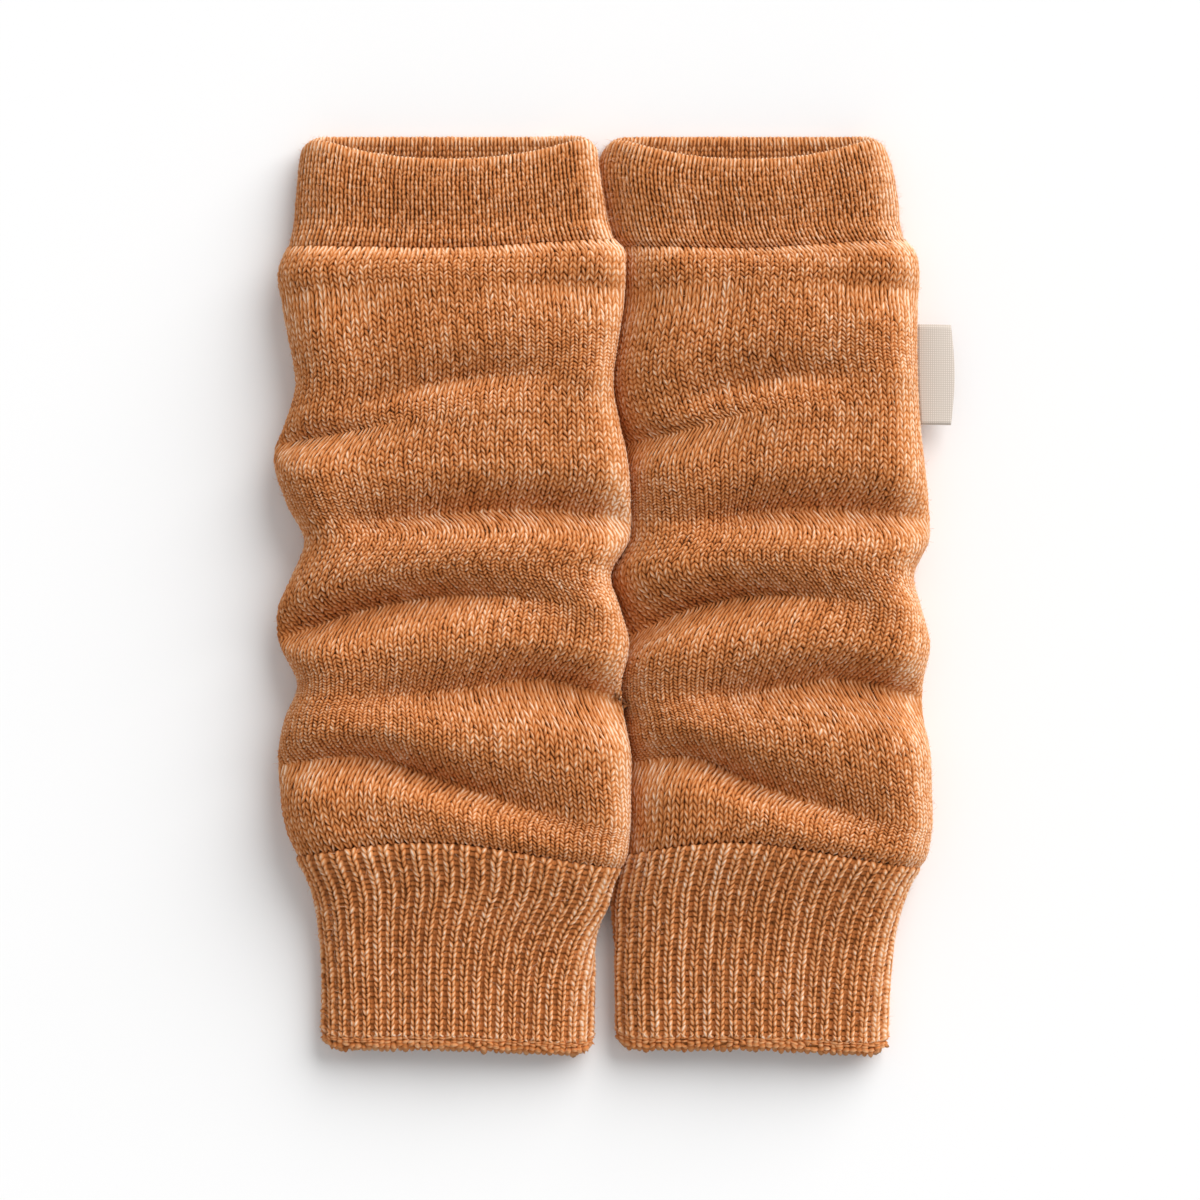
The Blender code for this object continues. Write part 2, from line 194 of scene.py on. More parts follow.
def smooth_line(stations: Sequence[float], values: Sequence[float], at: Array) -> Array:
    """Read a smooth curve through a few stations.

    Args:
        stations: where the values stand, rising.
        values: the value at each station.
        at: the places to read, kept within the stations.

    Returns:
        The curve's value at each place.
    """
    stations, values = np.asarray(stations, float), np.asarray(values, float)
    slopes = np.gradient(values, stations)
    at = np.clip(at, stations[0], stations[-1])
    k = np.clip(np.searchsorted(stations, at) - 1, 0, len(stations) - 2)
    span = stations[k + 1] - stations[k]
    t = (at - stations[k]) / span
    rise = values[k + 1] - values[k]
    start, end = slopes[k] * span, slopes[k + 1] * span
    return values[k] + t * (start + t * ((3 * rise - 2 * start - end) + t * (start + end - 2 * rise)))


def nearness(away: Array, softness: Array) -> Array:
    """1 on a line and 0 at the end of its reach, rounded over at the line by its softness."""
    rounded = np.hypot(away, softness) - softness
    return (1 - rounded / (np.hypot(1.0, softness) - softness)) ** 2


def section_value(name: str, down: Array) -> Array:
    """Read one column of the section table at a distance down from the rim."""
    return smooth_line([s.down for s in SECTIONS], [getattr(s, name) for s in SECTIONS], down)


@dataclass
class Form:
    """The outer face of one stretch of a leg warmer, between its first line and its last."""

    side: Side
    lines: tuple[Line, ...]

    def _above(self, row: Array) -> Array:
        """The number of the line above each row."""
        return np.clip(np.floor(row).astype(int), 0, len(self.lines) - 2)

    def _beside(self, readings: Sequence, row: Array) -> Array:
        """What the two lines beside each point say.

        Args:
            readings: for each line one reading, or one for each point.
            row: where each point lies, counted in lines.

        Returns:
            Two rows: the line above's readings, then the line below's.
        """
        readings = np.array([np.broadcast_to(reading, row.shape) for reading in readings])
        above, pick = self._above(row), np.arange(row.size)
        return np.stack([readings[above, pick], readings[above + 1, pick]])

    def _between(self, readings: Sequence, row: Array) -> Array:
        """The same readings, blended from the line above to the line below."""
        upper, lower = self._beside(readings, row)
        return upper + (lower - upper) * (row - self._above(row))

    def point(self, turn: Array, row: Array) -> Array:
        """Points of the outer face.

        Args:
            turn: 0 to 1 along the underside, 1 to 2 up the right flank, 2 to 3 across the
                front from right to left, 3 to 4 down the left flank.
            row: 0 at the first line, 1 at the next, and so on.

        Returns:
            An array of x, y, z in mm.
        """
        turn = np.asarray(turn, float) % 4.0
        row = np.asarray(row, float)
        at_left, at_middle, at_right = (self._between([line.down[k] for line in self.lines], row)
                                        for k in (0, 2, -1))
        left = section_value(self.side.left_edge, at_left)
        right = section_value(self.side.right_edge, at_right)
        crown = section_value("crown", at_middle)
        shoulder = crown - CROWN_ARCH
        left_flank, right_flank = self.side.left_flank.at(at_middle), self.side.right_flank.at(at_middle)
        x, z, lift = np.zeros(turn.size), np.zeros(turn.size), np.ones(turn.size)

        under = turn < 1
        x_from, x_to = left_flank[1] - left, right - right_flank[1]
        x[under] = (x_from + (x_to - x_from) * turn)[under]
        lift[under] = 0.0
        over = (turn >= 2) & (turn < 3)
        x_from, x_to = right - right_flank[2], left_flank[2] - left
        x[over] = (x_from + (x_to - x_from) * (turn - 2))[over]
        q = 2 * (turn - 2) - 1
        z[over] = (shoulder + CROWN_ARCH * (1 - q * q) ** 2)[over]
        for (share, under_by, over_by), edge, sign, angle, here in (
            (right_flank, right, 1, (turn - 1.5) * math.pi, (turn >= 1) & (turn < 2)),
            (left_flank, left, -1, (3.5 - turn) * math.pi, turn >= 3),
        ):
            widest = share * crown
            reach = np.where(angle > 0, over_by, under_by)
            height = np.where(angle > 0, shoulder - widest, widest)
            x[here] = (sign * (edge - reach * (1 - np.cos(angle))))[here]
            z[here] = (widest + height * np.sin(angle))[here]
            lift[here] = np.clip(np.sin(angle), 0, 1)[here]

        across = np.where(x > 0, x / right, x / left)
        places = [smooth_line(FIVE_PLACES, line.down, across) for line in self.lines]
        beneath = at_left + (at_right - at_left) * (across + 1) / 2
        ends = self._between([line.corner for line in self.lines], row)
        down = np.where(lift > 0, self._between(places, row), beneath)
        down = down + ends * np.abs(across) ** CORNER_SHARPNESS
        upper, lower = self._beside(places, row)
        part = row - self._above(row)
        dips, softness, reaches = (self._beside(readings, row) for readings in (
            [line.dip_at(across) for line in self.lines],
            [line.softness for line in self.lines],
            [line.reach for line in self.lines]))
        for k, away in enumerate((part, 1 - part)):
            reach = np.where(reaches[k] > 0, reaches[k], np.maximum((lower - upper) / 2, FOLD_REACH))
            share = nearness(np.clip(away * (lower - upper) / reach, 0, 1), softness[k])
            z = z - lift * dips[k] * share
        return np.stack([self.side.axis + x, PAIR_LENGTH / 2 - down, z], axis=-1)

    def outward(self, turn: Array, row: Array) -> Array:
        """Unit vectors that look out of the outer face.

        Args:
            turn: as in point.
            row: as in point.

        Returns:
            An array of x, y, z.
        """
        low = np.maximum(row - OUTWARD_STEP, 0.0)
        high = np.minimum(row + OUTWARD_STEP, len(self.lines) - 1.0)
        along = self.point(turn, high) - self.point(turn, low)
        round_it = self.point(turn + OUTWARD_STEP, row) - self.point(turn - OUTWARD_STEP, row)
        facing = np.cross(round_it, along)
        return facing / np.linalg.norm(facing, axis=-1, keepdims=True)

    def depths(self, turn: Array, row: Array) -> tuple[Array, Array]:
        """How deep the lines above and below each place are.

        Args:
            turn: as in point.
            row: as in point.

        Returns:
            The depths there of the lines above and below, in mm, and the two lines' greatest depths.
        """
        across = np.clip(2 * (2.5 - turn), -1, 1)
        return (self._beside([line.dip_at(across) for line in self.lines], row),
                self._beside([max(line.dip) for line in self.lines], row))

    def gathered(self, turn: Array, row: Array) -> Array:
        """The depths of the lines above and below each place, as shares of those lines' greatest."""
        depths, most = self.depths(turn, row)
        return np.clip(depths / np.maximum(most, FULL_GATHER), 0, 1)

    def sway(self, turn: Array, row: Array) -> Array:
        """How far the knit's columns have swayed to the right: most where a fold is deep.

        Args:
            turn: as in point.
            row: as in point.

        Returns:
            The sway at each place, in mm.
        """
        part = row - self._above(row)
        upper, lower = self.gathered(turn, row)
        sway_above, sway_below = self._beside([line.sway for line in self.lines], row)
        at_line = np.where(part < 0.5, sway_above * upper, sway_below * lower)
        resting, _ = self._beside([line.sway_below for line in self.lines], row)
        between = resting * (upper * (1 - part) + lower * part)
        return between + (at_line - between) * np.abs(2 * part - 1) ** SWAY_GATHER


# ---------------------------------------- meshes
@dataclass
class Mesh:
    """Points, faces and what they carry, before they are made into an object."""

    points: Array
    quads: Array
    tone: Optional[Array] = None
    uv: Optional[Array] = None

    def make(self, name: str, material: Material) -> Object:
        """Make the object, smooth-shaded.

        Args:
            name: the object's name.
            material: its finish.

        Returns:
            The object, in metres.
        """
        mesh = bpy.data.meshes.new(name)
        corners = self.quads.astype(np.int32).ravel()
        mesh.vertices.add(len(self.points))
        mesh.vertices.foreach_set("co", (self.points * MM).astype(np.float32).ravel())
        mesh.loops.add(corners.size)
        mesh.loops.foreach_set("vertex_index", corners)
        width = self.quads.shape[1]
        mesh.polygons.add(len(self.quads))
        mesh.polygons.foreach_set("loop_start", np.arange(0, corners.size, width, dtype=np.int32))
        if self.tone is not None:
            layer = mesh.attributes.new("tone", "FLOAT", "POINT")
            layer.data.foreach_set("value", self.tone.astype(np.float32).ravel())
        if self.uv is not None:
            layer = mesh.uv_layers.new(name="knit")
            layer.data.foreach_set("uv", self.uv[corners].astype(np.float32).ravel())
        mesh.update(calc_edges=True)
        mesh.validate()
        mesh.shade_smooth()
        mesh.materials.append(material)
        return put(name, mesh)


def put(name: str, data: bpy.types.ID) -> Object:
    """Make an object and put it in the scene.

    Args:
        name: the object's name.
        data: its mesh, camera or light.

    Returns:
        The object.
    """
    made = bpy.data.objects.new(name, data)
    bpy.context.scene.collection.objects.link(made)
    return made


def copies(quads: Array, count: int, points: int) -> Array:
    """The faces of many like meshes in one, each of so many points."""
    return (quads[None] + (np.arange(count) * points)[:, None, None]).reshape(-1, 4)


def grid_quads(rows: int, columns: int, ring: bool, closed: bool = False) -> Array:
    """Faces of a grid of points.

    Args:
        rows: how many rows of points.
        columns: how many points in a row.
        ring: whether each row closes on itself.
        closed: whether the last row joins the first.

    Returns:
        An array of four point numbers a face.
    """
    i = np.arange(rows if closed else rows - 1)[:, None]
    j = np.arange(columns if ring else columns - 1)[None, :]
    beside, below = (j + 1) % columns, (i + 1) % rows
    quads = [i * columns + j, i * columns + beside, below * columns + beside, below * columns + j]
    return np.stack([np.broadcast_to(q, (i.size, j.size)) for q in quads], axis=-1).reshape(-1, 4)


# ---------------------------------------- materials
def linear(colour: str) -> tuple[float, float, float, float]:
    """Turn an sRGB hex colour into linear light with full alpha."""
    parts = [int(colour[k:k + 2], 16) / 255 for k in (1, 3, 5)]
    return (*[c / 12.92 if c <= 0.04045 else ((c + 0.055) / 1.055) ** 2.4 for c in parts], 1.0)


def add_node(tree: NodeTree, kind: str, inputs: Optional[dict] = None, **settings: object) -> Node:
    """Add a node with its settings and links.

    Args:
        tree: the material's nodes.
        kind: the node's type name.
        inputs: for its input sockets, a constant or the socket that feeds each.
        settings: the node's own properties.

    Returns:
        The node.
    """
    made = tree.nodes.new(kind)
    for name, value in settings.items():
        setattr(made, name, value)
    for socket, given in (inputs or {}).items():
        if isinstance(given, NodeSocket):
            tree.links.new(given, made.inputs[socket])
        else:
            made.inputs[socket].default_value = given
    return made


@dataclass(frozen=True)
class Finish:
    """What the finishes share: a name, constants on the shader's own sockets, and what feeds two of them."""

    name: str

    def start(self, **constants: object) -> tuple[Material, NodeTree]:
        """Start the material.

        Args:
            constants: values for the shader's sockets, with _ for each space in a socket's name.

        Returns:
            The material and its nodes.
        """
        material = bpy.data.materials.new(self.name)
        material.use_nodes = True
        for socket, value in constants.items():
            material.node_tree.nodes["Principled BSDF"].inputs[socket.replace("_", " ")].default_value = value
        return material, material.node_tree

    def feed(self, tree: NodeTree, colour: Node, relief: Node) -> None:
        """Let two nodes give the shader its colour and its relief."""
        for node, output, socket in ((colour, "Color", "Base Color"), (relief, "Normal", "Normal")):
            tree.links.new(node.outputs[output], tree.nodes["Principled BSDF"].inputs[socket])


@dataclass(frozen=True)
class SpunWool(Finish):
    """Carded wool yarn, piece-dyed caramel and knitted: matte, with a hairy bloom at grazing angles. Its tone
    ramp also carries painted shade and painted highlights.
    """

    # The tone ramp: its darkest stop is painted shade at the yarns' sides and in deep creases, body is the
    # yarn's own caramel, and lit and crest are painted highlights along the yarns' crests and on slopes that
    # face the light.
    painted_hollow_shade: str = "#602B07"
    body: str = "#C57335"
    lit: str = "#D69763"
    crest: str = "#F8DDC3"
    hair_grain: float = 0.25  # mm between the fibres' streaks, drawn coarser than real fibres
    streaks: float = 0.30  # how far the streaks change the tone
    patch: float = 26.0  # mm across the cloth's faint lighter and darker patches
    patchiness: float = 0.22  # how far the patches change the tone
    twist_scale: float = 1 / 1.1  # of the wave texture, which turns the yarn's plies every 0.7 mm

    def build(self) -> Material:
        """Make the yarn's material: its tone comes from the stitch, its twist from the yarn's own length.

        Returns:
            The material.
        """
        material, tree = self.start(Roughness=0.86, IOR=1.54, Specular_IOR_Level=0.22, Sheen_Weight=0.16,
                                    Sheen_Roughness=0.45, Sheen_Tint=linear("#EFB98E"))
        tone = add_node(tree, "ShaderNodeAttribute", attribute_name="tone").outputs["Fac"]
        place = add_node(tree, "ShaderNodeTexCoord").outputs["Object"]
        sources, changes = [], []
        for grain, detail, roughness, most in ((self.patch, 2.0, 0.5, self.patchiness),
                                               (self.hair_grain, 3.0, 0.7, self.streaks)):
            sources.append(add_node(tree, "ShaderNodeTexNoise", {
                "Vector": place, "Scale": 1 / (grain * MM), "Detail": detail,
                "Roughness": roughness}).outputs["Fac"])
            changes.append(add_node(tree, "ShaderNodeMath", {0: sources[-1], 1: most, 2: -most / 2},
                                    operation="MULTIPLY_ADD").outputs[0])
        uneven = add_node(tree, "ShaderNodeMath", {0: changes[0], 1: changes[1]}, operation="ADD").outputs[0]
        share = add_node(tree, "ShaderNodeMath", {0: tone, 1: uneven}, operation="ADD", use_clamp=True)
        colour = add_node(tree, "ShaderNodeValToRGB", {"Fac": share.outputs[0]})
        stops = colour.color_ramp.elements
        stops[0].color, stops[1].color = linear(self.painted_hollow_shade), linear(self.crest)
        stops.new(0.42).color, stops.new(0.72).color = linear(self.body), linear(self.lit)
        along = add_node(tree, "ShaderNodeUVMap", uv_map="knit").outputs["UV"]
        twist = add_node(tree, "ShaderNodeTexWave", {
            "Vector": along, "Scale": self.twist_scale, "Distortion": 1.5, "Detail": 2.0},
            bands_direction="DIAGONAL").outputs["Fac"]
        plies = add_node(tree, "ShaderNodeBump", {"Height": twist, "Strength": 0.35, "Distance": 0.12 * MM})
        self.feed(tree, colour, add_node(tree, "ShaderNodeBump", {
            "Height": sources[1], "Normal": plies.outputs[0], "Strength": 0.5, "Distance": 0.10 * MM}))
        return material


@dataclass(frozen=True)
class KnitGround(Finish):
    """The same wool where the cloth's own face shows between and behind the yarns: darker, as painted shade
    there, with the stitches as low relief whose recesses are painted darker still as shade, so that the
    underside and the inside read as knit too."""

    # painted shade: the dark stop, in the recesses of the stitches' relief; face is itself darker than the
    # yarn, as painted shade between and behind the yarns
    painted_hollow_shade: str = "#4E270F"
    face: str = "#9A5C31"
    slant: float = 1.7  # how far a stitch's limbs slant, in courses to a column
    parting: float = 0.8  # how deep the parting of the limbs is, against the courses
    fuzz_grain: float = 0.3  # mm
    fuzz: float = 0.35  # how high the fuzz stands, against the stitches

    def build(self) -> Material:
        """Make the ground's material from the knit's own columns and courses.

        Returns:
            The material.
        """
        material, tree = self.start(Roughness=0.92, IOR=1.54, Specular_IOR_Level=0.15, Sheen_Weight=0.25,
                                    Sheen_Roughness=0.5, Sheen_Tint=linear("#E8BC98"))
        knit = add_node(tree, "ShaderNodeUVMap", uv_map="knit").outputs["UV"]
        parts = add_node(tree, "ShaderNodeSeparateXYZ", {"Vector": knit}).outputs
        slanted, limbs = parts["X"], parts["X"]
        for operation, terms in (("FRACT", {}), ("SUBTRACT", {1: 0.5}), ("ABSOLUTE", {}),
                                 ("MULTIPLY_ADD", {1: self.slant, 2: parts["Y"]}),
                                 ("MULTIPLY", {1: 2 * math.pi}), ("COSINE", {})):
            slanted = add_node(tree, "ShaderNodeMath", {0: slanted, **terms}, operation=operation).outputs[0]
        for operation, terms in (("MULTIPLY", {1: 4 * math.pi}), ("COSINE", {}),
                                 ("MULTIPLY_ADD", {1: -self.parting, 2: slanted})):
            limbs = add_node(tree, "ShaderNodeMath", {0: limbs, **terms}, operation=operation).outputs[0]
        most = 1 + self.parting
        stitches = add_node(tree, "ShaderNodeMapRange", {"Value": limbs, "From Min": -most, "From Max": most})
        place = add_node(tree, "ShaderNodeTexCoord").outputs["Object"]
        fuzz = add_node(tree, "ShaderNodeTexNoise", {"Vector": place, "Scale": 1 / (self.fuzz_grain * MM),
                                                     "Detail": 3.0}).outputs["Fac"]
        height = add_node(tree, "ShaderNodeMath", {0: fuzz, 1: self.fuzz, 2: stitches.outputs[0]},
                          operation="MULTIPLY_ADD").outputs[0]
        # colour follows the relief's height: its low parts get painted shade
        colour = add_node(tree, "ShaderNodeValToRGB", {"Fac": height})
        stops = colour.color_ramp.elements
        stops[0].position = 0.15
        stops[0].color, stops[1].color = linear(self.painted_hollow_shade), linear(self.face)
        self.feed(tree, colour, add_node(tree, "ShaderNodeBump", {
            "Height": height, "Strength": 0.8, "Distance": 0.6 * MM}))
        return material


@dataclass(frozen=True)
class WovenTape(Finish):
    """Cream cotton label tape, plain-woven and soft: matte, with fine crossing threads."""

    thread: str = "#D3C8BE"
    gap: str = "#BAAEA2"
    thread_pitch: float = 0.8  # mm; a soft tape of thick, low-twist yarns
    wave_band: float = 0.32  # how wide a band of the wave texture is at a scale of 1

    def build(self) -> Material:
        """Make the tape's material: warp and weft as two crossed waves.

        Returns:
            The material.
        """
        material, tree = self.start(Roughness=0.8, IOR=1.5, Specular_IOR_Level=0.25, Sheen_Weight=0.2,
                                    Sheen_Roughness=0.4, Sheen_Tint=linear("#FFFFFF"))
        place = add_node(tree, "ShaderNodeUVMap", uv_map="knit").outputs["UV"]
        warp, weft = (
            add_node(tree, "ShaderNodeTexWave", {"Vector": place, "Scale": self.wave_band / self.thread_pitch,
                                                 "Distortion": 0.4}, bands_direction=way).outputs["Fac"]
            for way in ("X", "Y"))
        weave = add_node(tree, "ShaderNodeMath", {0: warp, 1: weft}, operation="MULTIPLY").outputs[0]
        colour = add_node(tree, "ShaderNodeValToRGB", {"Fac": weave})
        stops = colour.color_ramp.elements
        stops[0].color, stops[1].color = linear(self.gap), linear(self.thread)
        stops[1].position = 0.6
        self.feed(tree, colour, add_node(tree, "ShaderNodeBump", {
            "Height": weave, "Strength": 0.4, "Distance": 0.08 * MM}))
        return material


@dataclass(frozen=True)
class WhitePaper(Finish):
    """Smooth white background paper: matte and even, so that it only takes the soft shadow."""

    def build(self) -> Material:
        """Make the floor's material."""
        return self.start(Base_Color=linear("#F7F7F7"), Roughness=0.95)[0]


# ---------------------------------------- the knit
class Structure(Enum):
    """How a wall is knitted: every column faces out, or every other one, as a rib."""

    PLAIN = "plain"
    RIB = "rib"


class Face(Enum):
    """Which face of a wall the yarns lie on: the turns it goes round, and its side of the cloth."""

    FRONT = (1.0, 4.0, 1.0)
    BACK_INSIDE = (3.4, 5.6, -1.0)

    def __init__(self, first: float, last: float, outward: float) -> None:
        """Name the parts of the value."""
        self.first, self.last, self.outward = first, last, outward


@dataclass(frozen=True)
class Gauge:
    """The size of one wall's stitches, counted from the photograph and turned to millimetres."""

    column: float  # from one column of stitches to the next
    course: float  # from one course to the next
    limb: float  # width of one limb of a stitch, as a share of the stitch's width
    lean: float  # how far a limb leans in to its foot, as a share of half a stitch
    rise: float  # how far a limb stands out of the cloth, in mm
    reach: float = 0.8  # half a limb's length, as a share of the course
    apart: float = 0.5  # how far the limbs lie from the stitch's middle, as a share of half of it
    stitch_width: Optional[float] = None

    @property
    def width(self) -> float:
        """The width of a stitch, which in a rib is less than the pitch of its columns."""
        return self.stitch_width or self.column


def travelled(trail: Array) -> Array:
    """How far along a trail of points each of them lies."""
    return np.concatenate([[0], np.cumsum(np.linalg.norm(np.diff(trail, axis=0), axis=1))])


BEND_STEPS = 7  # points round the bend of a rim or of the folded tape, with its two ends
SAMPLES = 900  # points on each line that the form is measured along
SAMPLES_ROUND = 400  # points on the ring that a piece's girth is measured round
PLACES_PER_LEVEL = 8  # how many places across the face are kept, for each level down it
DOWN_THE_FACE = (0.38, 0.5, 0.62)  # where across the face its length is measured
DEEP_FROM, DEEP_OVER = 9.0, 3.0  # mm of dip from which a fold's crease is painted darker as shade, and the mm over which that grows to full
CREASE_REACH = 0.12  # how far from a deep fold's line that painted shade reaches, in the form's rows
SIDE_FROM, SIDE_OVER = 0.45, 0.45  # from where on the flanks the cloth counts as turned to the side
RELIEF_FADES = 2.0  # mm over which the ribs end
NEAR_FLOOR = 3.0  # mm above the floor below which the ribs and the inset are pressed flat
FLOOR_CLEARANCE = 0.1  # mm; yarns that would come closer to the floor are left off


@dataclass
class Wall:
    """One wall of cloth on its form: it turns places on the knit into points in space.

    A place is q, from 0 where the face begins to 1 where it ends, and s, the distance down the
    cloth from the wall's first line, in mm. Past a rounded rim or foot, places lie over it.
    """

    form: Form
    thickness: float
    gauge: Gauge
    structure: Structure = Structure.PLAIN
    face: Face = Face.FRONT
    rounded_top: bool = False
    rounded_foot: bool = False
    rib_relief: float = 0.0
    sunk_top: float = 0.0  # how deep the seams pull the cloth in at either end, in mm
    sunk_foot: float = 0.0
    pull_top: float = 1.3  # how far that reaches, in mm
    pull_foot: float = 2.2
    foot_margin: float = 0.0  # how far short of the foot the ribs end, in mm
    stretch: float = 0.0  # how much longer the courses are just below a fold
    overlap: float = 0.5  # how far the yarns reach over a sewn end, in mm
    still: float = 14.0  # how far in from the face's two edges the columns sway less, in mm
    levels: int = 60  # how many levels the columns are spread evenly at

    def __post_init__(self) -> None:
        """Measure the face across and down, and count the columns and courses that it takes."""
        last = len(self.form.lines) - 1.0
        span = self.face.last - self.face.first
        turns = np.linspace(self.face.first, self.face.last - 1e-6, SAMPLES)
        arounds = [travelled(self.form.point(turns, np.full(SAMPLES, row))[:, [0, 2]])
                   for row in np.linspace(0.0, last, self.levels)]
        fronts = [around[-1] for around in arounds]
        places = self.levels * PLACES_PER_LEVEL
        self._levels = np.array([np.interp(np.linspace(0, front, places), around, turns)
                                 for front, around in zip(fronts, arounds)])
        self._rows = np.linspace(0.0, last, SAMPLES)
        tracks = [np.full(SAMPLES, self.face.first + share * span) for share in DOWN_THE_FACE]
        self._along = np.mean([travelled(self.form.point(track, self._rows)) for track in tracks], axis=0)
        self.front, self.length = float(np.mean(fronts)), float(self._along[-1])
        self.columns = round(self.front / self.gauge.column)
        self.courses = round(self.length / self.gauge.course)

    def turn_at(self, q: Array, row: Array) -> Array:
        """The form's turn at places across the face, so that the columns lie evenly at every level.

        Args:
            q: as in place.
            row: the form's rows.

        Returns:
            The turns.
        """
        levels = self._levels
        down = np.clip(row / (len(self.form.lines) - 1.0), 0, 1) * (levels.shape[0] - 1)
        over = np.clip(q, 0, 1) * (levels.shape[1] - 1)
        i, j = (np.minimum(at.astype(int), size - 2) for at, size in zip((down, over), levels.shape))
        across, below = over - j, down - i
        upper, lower = (levels[k, j] * (1 - across) + levels[k, j + 1] * across for k in (i, i + 1))
        return upper * (1 - below) + lower * below

    def row_at(self, s: Array) -> Array:
        """The form's row at distances down the cloth."""
        return np.interp(s, self._along, self._rows)

    def folded(self, q: Array, s: Array) -> tuple[Array, Array, Array]:
        """What the folds and the flanks do to the cloth at places on it.

        Args:
            q: as in place.
            s: as in place.

        Returns:
            Three shares from 0 to 1: how much the courses are drawn out just below a fold, how much painted
            shade falls along the crease of a very deep one, and how far the cloth has turned to the side.
        """
        row = self.row_at(s)
        turn, part = self.turn_at(q, row), row - np.floor(row)
        drawn = self.form.gathered(turn, row)[0] * np.clip(1 - 3 * part, 0, 1)
        crease_shade_share = np.clip((self.form.depths(turn, row)[0] - DEEP_FROM) / DEEP_OVER, 0, 1)
        above, below = crease_shade_share * np.exp(-(np.stack([part, 1 - part]) / CREASE_REACH) ** 2)
        right = np.where(turn < 2, np.cos(np.clip(turn - 1.5, 0, 0.5) * math.pi), 0)
        left = np.where(turn > 3, np.cos(np.clip(3.5 - turn, 0, 0.5) * math.pi), 0)
        return drawn, np.maximum(above, below), eased((np.maximum(right, left) - SIDE_FROM) / SIDE_OVER)

    def sunk(self, s: Array) -> Array:
        """How deep the seams at either end pull the cloth in, in mm."""
        return (self.sunk_top * np.exp(-(s / self.pull_top) ** 2)
                + self.sunk_foot * np.exp(-((self.length - s) / self.pull_foot) ** 2))

    def relief(self, q: Array, s: Array, height: Array) -> Array:
        """How far a rib's columns stand out of the wall, dying away at its foot and near the floor.

        Args:
            q: as in place.
            s: as in place.
            height: how high each place is above the floor, in mm.

        Returns:
            The relief in mm.
        """
        if self.structure is Structure.PLAIN:
            return np.zeros(q.shape)
        wave = 0.5 + 0.5 * np.cos(2 * math.pi * q * self.columns)
        short = np.clip((self.length - s - self.foot_margin) / RELIEF_FADES + 1, 0, 1)
        return self.rib_relief * (1 - wave ** 3) * short * np.clip(height / NEAR_FLOOR - 1, 0, 1)

    def frame_at(self, turn: Array, row: Array) -> tuple[Array, Array]:
        """The outer face and the way it looks, squared at its two ends.

        Args:
            turn: the form's turns.
            row: the form's rows.

        Returns:
            Points of the outer face, in mm, and unit vectors that look out of it.
        """
        base, facing = self.form.point(turn, row), self.form.outward(turn, row)
        at_end = (row <= 0.0) | (row >= len(self.form.lines) - 1.0)
        facing[at_end, 1] = 0.0
        return base, facing / np.linalg.norm(facing, axis=1, keepdims=True)

    def place(self, q: Array, s: Array, lift: Array) -> Array:
        """Turn places on the knit into points.

        Args:
            q: places across the face, 0 to 1.
            s: distances down the cloth, which may run over a rounded rim.
            lift: how far each point stands out of the cloth's face, in mm.

        Returns:
            An array of x, y, z in mm.
        """
        half = self.thickness / 2
        arc = half * math.pi
        over_top = np.clip(arc / 2 - s, 0, None) if self.rounded_top else np.zeros(s.shape)
        past_foot = np.clip(s - self.length + arc / 2, 0, None) if self.rounded_foot else np.zeros(s.shape)
        past = np.maximum(over_top, past_foot)
        angle = np.clip(past / half, 0, math.pi)
        back = half * (1 - np.sin(angle)) + np.clip(past - arc, 0, None)
        own = np.where(past_foot > 0, self.length - back, np.clip(s, 0, self.length))
        own = np.where(over_top > 0, back, own)
        row = self.row_at(own)
        q = np.clip(q, 0, 1)
        turn = self.turn_at(q, row)
        part = row - np.floor(row)
        row = row + self.stretch * self.form.gathered(turn, row)[0] * part * (1 - part) ** 2
        hold = np.clip(np.minimum(q, 1 - q) * self.front / self.still, 0, 1)
        turn = self.turn_at(q - self.form.sway(turn, row) * hold / self.front, row)
        base, facing = self.frame_at(turn, row)
        base[:, 1] -= np.where(past > 0, 0, np.clip(s - own, -self.overlap, self.overlap))
        depth = half * (1 - np.cos(angle))
        if self.face is Face.BACK_INSIDE:
            depth = self.thickness - depth
        end = np.zeros_like(facing)
        end[:, 1] = np.where(over_top > 0, 1.0, -1.0)
        out = self.face.outward * facing * np.cos(angle)[:, None] + end * np.sin(angle)[:, None]
        stand = lift + self.relief(q, own, base[:, 2]) * (1 + np.cos(angle)) / 2 - self.sunk(own)
        return base - facing * depth[:, None] + out * stand[:, None]


